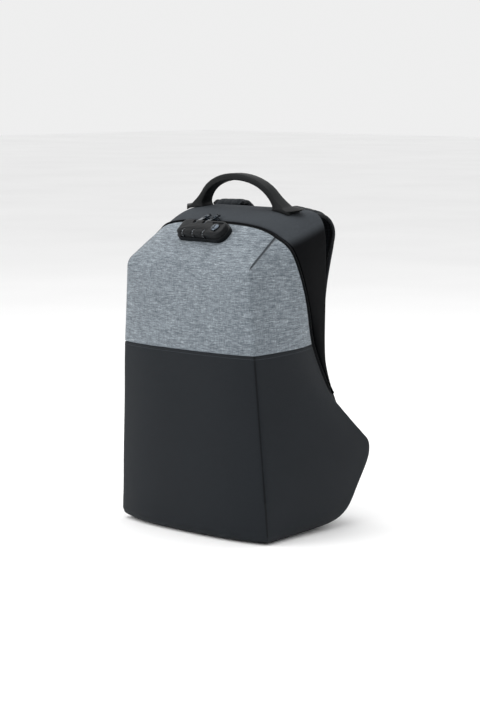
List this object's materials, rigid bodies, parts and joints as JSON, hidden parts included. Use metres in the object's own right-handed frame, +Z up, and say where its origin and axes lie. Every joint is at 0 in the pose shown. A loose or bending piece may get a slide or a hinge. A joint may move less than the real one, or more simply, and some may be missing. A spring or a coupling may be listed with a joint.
{
  "type": "anti theft backpack",
  "caption": "Stiff-fronted backpack with a faceted grey and dark shell, arched hidden zip, dial lock on the roof, moulded top handle, padded back and shoulder straps.",
  "frame": {"origin": "middle of the footprint, on the ground the bag stands on", "axes": "+Z up, the front of the bag looks along -Y, the wearer's back is on the +Y side, +X is to the right when facing the front"},
  "size_m": [0.294, 0.2452, 0.5045],
  "materials": {
    "dark_cloth": "dark charcoal coated polyester, matt",
    "grey_melange": "grey melange polyester with light and dark flecks",
    "black_cloth": "near-black polyester, matt",
    "back_mesh": "black spacer mesh over foam",
    "strap_cloth": "black padded strap cloth",
    "webbing": "black woven webbing",
    "zip_black": "black nylon coil on tape",
    "moulded_black": "black moulded polymer, fine grain",
    "lock_black": "dark satin polymer",
    "dial_black": "black polymer with light numerals",
    "gunmetal": "dark plated zinc",
    "bare_steel": "dull plated steel"
  },
  "bodies": {
    "bag": {"lower_shell": "dark_cloth", "floor_plate": "dark_cloth", "upper_shell": "grey_melange", "rear_gusset": "black_cloth", "back_panel": "back_mesh", "zip_chain": "zip_black", "top_handle": "moulded_black", "shoulder_strap_right": "strap_cloth", "strap_adjuster_right": "moulded_black", "strap_webbing_right": "webbing", "shoulder_strap_left": "strap_cloth", "strap_adjuster_left": "moulded_black", "strap_webbing_left": "webbing", "zip_slider_1": "gunmetal", "zip_pull_1": "gunmetal", "zip_slider_2": "gunmetal", "zip_pull_2": "gunmetal", "lock_body": "lock_black"},
    "dial_1": {"lock_dial_1": "dial_black"},
    "dial_2": {"lock_dial_2": "dial_black"},
    "dial_3": {"lock_dial_3": "dial_black"},
    "key_cylinder": {"lock_key_cylinder": "bare_steel"}
  },
  "joints": [
    {"name": "dial_1_turn", "type": "hinge", "parent": "bag", "child": "dial_1", "pos_m": [-0.025, -0.08949, 0.42247], "axis": [1, 0, 0], "continuous": true},
    {"name": "dial_2_turn", "type": "hinge", "parent": "bag", "child": "dial_2", "pos_m": [-0.005, -0.08949, 0.42247], "axis": [1, 0, 0], "continuous": true},
    {"name": "dial_3_turn", "type": "hinge", "parent": "bag", "child": "dial_3", "pos_m": [0.015, -0.08949, 0.42247], "axis": [1, 0, 0], "continuous": true},
    {"name": "key_turn", "type": "hinge", "parent": "bag", "child": "key_cylinder", "pos_m": [0.031, -0.08638, 0.4326], "axis": [0, -0.6566, 0.7542], "range_deg": [0, 90]}
  ]
}
